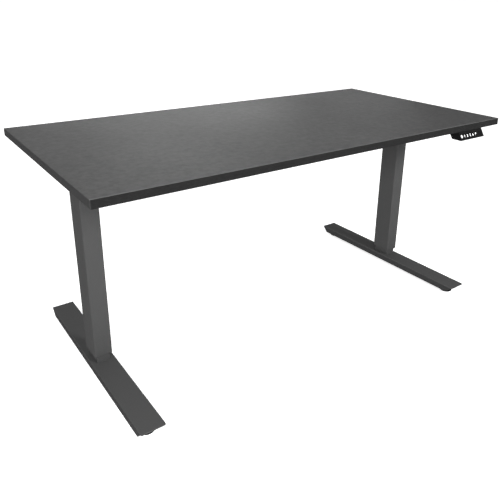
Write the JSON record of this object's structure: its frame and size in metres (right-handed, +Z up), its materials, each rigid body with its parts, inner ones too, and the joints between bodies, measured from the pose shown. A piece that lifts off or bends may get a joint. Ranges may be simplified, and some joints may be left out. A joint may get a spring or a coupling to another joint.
{
  "type": "height adjustable standing desk",
  "caption": "Rectangular laminate desk top on motorised telescopic columns with flat steel feet, levelling glides, an under-top control box and a push-button keypad.",
  "frame": {"origin": "on the floor, under the middle of the desk top", "axes": "+X to the user's right along the desk, +Y to the back, +Z up"},
  "size_m": [1.524, 0.7713, 0.7025],
  "materials": {
    "top_laminate": "satin",
    "backer_laminate": "matte",
    "board_core": "matte",
    "edge_band": "satin",
    "powder_coat": "satin",
    "zinc_fastener": "satin",
    "black_fastener": "satin",
    "cast_aluminium": "matte",
    "motor_case": "satin",
    "ground_steel": "satin",
    "bearing_steel": "polished",
    "gear_polymer": "satin",
    "nut_polymer": "satin",
    "guide_polymer": "matte",
    "glide_rubber": "matte",
    "box_plastic": "matte",
    "inlet_plastic": "satin",
    "keypad_plastic": "matte",
    "keypad_panel": "satin",
    "display_window": "gloss",
    "circuit_board": "satin",
    "button_plastic": "matte"
  },
  "bodies": {
    "upper": {"bottom_laminate": "backer_laminate", "control_box_base": "box_plastic", "control_box_case": "box_plastic", "desktop_core": "board_core", "edge_banding": "edge_band", "front_rail": "powder_coat", "gearbox_screws": "zinc_fastener", "keypad_display": "display_window", "keypad_fascia": "keypad_panel", "keypad_housing": "keypad_plastic", "keypad_pcb": "circuit_board", "left_gearbox_cover": "cast_aluminium", "left_gearbox_housing": "cast_aluminium", "left_guide_bush": "guide_polymer", "left_head_bracket": "powder_coat", "left_motor": "motor_case", "left_outer_tube": "powder_coat", "left_side_bracket": "powder_coat", "left_spindle_bearing": "bearing_steel", "mains_inlet": "inlet_plastic", "rail_bolts": "black_fastener", "rear_rail": "powder_coat", "right_gearbox_cover": "cast_aluminium", "right_gearbox_housing": "cast_aluminium", "right_guide_bush": "guide_polymer", "right_head_bracket": "powder_coat", "right_motor": "motor_case", "right_outer_tube": "powder_coat", "right_side_bracket": "powder_coat", "right_spindle_bearing": "bearing_steel", "top_laminate": "top_laminate", "wood_screws": "zinc_fastener"},
    "left_base": {"left_drive_nut": "nut_polymer", "left_foot": "powder_coat", "left_foot_bolts": "black_fastener", "left_inner_tube": "powder_coat", "left_slide_pads": "guide_polymer"},
    "right_base": {"right_drive_nut": "nut_polymer", "right_foot": "powder_coat", "right_foot_bolts": "black_fastener", "right_inner_tube": "powder_coat", "right_slide_pads": "guide_polymer"},
    "left_drive_spindle": {"left_spindle": "ground_steel", "left_worm_wheel": "gear_polymer"},
    "right_drive_spindle": {"right_spindle": "ground_steel", "right_worm_wheel": "gear_polymer"},
    "left_worm": {"left_worm_shaft": "ground_steel"},
    "right_worm": {"right_worm_shaft": "ground_steel"},
    "button_1": {"button_1": "button_plastic"},
    "button_2": {"button_2": "button_plastic"},
    "button_3": {"button_3": "button_plastic"},
    "button_down": {"button_down": "button_plastic"},
    "button_set": {"button_set": "button_plastic"},
    "button_up": {"button_up": "button_plastic"},
    "left_front_glide": {"left_front_glide": "glide_rubber"},
    "left_rear_glide": {"left_rear_glide": "glide_rubber"},
    "right_front_glide": {"right_front_glide": "glide_rubber"},
    "right_rear_glide": {"right_rear_glide": "glide_rubber"}
  },
  "joints": [
    {"name": "desk_lift", "type": "slide", "parent": "left_base", "child": "upper", "axis": [0, 0, 1], "range_m": [0, 0.45]},
    {"name": "right_column_slide", "type": "slide", "parent": "upper", "child": "right_base", "axis": [0, 0, -1], "range_m": [0, 0.45]},
    {"name": "left_spindle_turn", "type": "hinge", "parent": "upper", "child": "left_drive_spindle", "pos_m": [-0.6535, 0.003, 0.628], "axis": [0, 0, 1], "continuous": true},
    {"name": "left_worm_turn", "type": "hinge", "parent": "upper", "child": "left_worm", "pos_m": [-0.6535, -0.0263, 0.645], "axis": [1, 0, 0], "continuous": true},
    {"name": "right_spindle_turn", "type": "hinge", "parent": "upper", "child": "right_drive_spindle", "pos_m": [0.6535, 0.003, 0.628], "axis": [0, 0, 1], "continuous": true},
    {"name": "right_worm_turn", "type": "hinge", "parent": "upper", "child": "right_worm", "pos_m": [0.6535, -0.0263, 0.645], "axis": [1, 0, 0], "continuous": true},
    {"name": "left_front_glide_screw", "type": "slide", "parent": "left_base", "child": "left_front_glide", "axis": [0, 0, -1], "range_m": [0, 0.008]},
    {"name": "left_rear_glide_screw", "type": "slide", "parent": "left_base", "child": "left_rear_glide", "axis": [0, 0, -1], "range_m": [0, 0.008]},
    {"name": "right_front_glide_screw", "type": "slide", "parent": "right_base", "child": "right_front_glide", "axis": [0, 0, -1], "range_m": [0, 0.008]},
    {"name": "right_rear_glide_screw", "type": "slide", "parent": "right_base", "child": "right_rear_glide", "axis": [0, 0, -1], "range_m": [0, 0.008]},
    {"name": "button_set_press", "type": "slide", "parent": "upper", "child": "button_set", "axis": [0, 0.8597, -0.5107], "range_m": [0, 0.0008], "stiffness_N_per_m": 1500},
    {"name": "button_1_press", "type": "slide", "parent": "upper", "child": "button_1", "axis": [0, 0.8597, -0.5107], "range_m": [0, 0.0008], "stiffness_N_per_m": 1500},
    {"name": "button_2_press", "type": "slide", "parent": "upper", "child": "button_2", "axis": [0, 0.8597, -0.5107], "range_m": [0, 0.0008], "stiffness_N_per_m": 1500},
    {"name": "button_3_press", "type": "slide", "parent": "upper", "child": "button_3", "axis": [0, 0.8597, -0.5107], "range_m": [0, 0.0008], "stiffness_N_per_m": 1500},
    {"name": "button_up_press", "type": "slide", "parent": "upper", "child": "button_up", "axis": [0, 0.8597, -0.5107], "range_m": [0, 0.0008], "stiffness_N_per_m": 1500},
    {"name": "button_down_press", "type": "slide", "parent": "upper", "child": "button_down", "axis": [0, 0.8597, -0.5107], "range_m": [0, 0.0008], "stiffness_N_per_m": 1500}
  ],
  "couplings": [
    {"joint": "right_column_slide", "follows": "desk_lift", "ratio": 1},
    {"joint": "left_spindle_turn", "follows": "desk_lift", "rad_per_m": 628.32},
    {"joint": "left_worm_turn", "follows": "desk_lift", "rad_per_m": 9424.8},
    {"joint": "right_spindle_turn", "follows": "desk_lift", "rad_per_m": 628.32},
    {"joint": "right_worm_turn", "follows": "desk_lift", "rad_per_m": 9424.8}
  ]
}
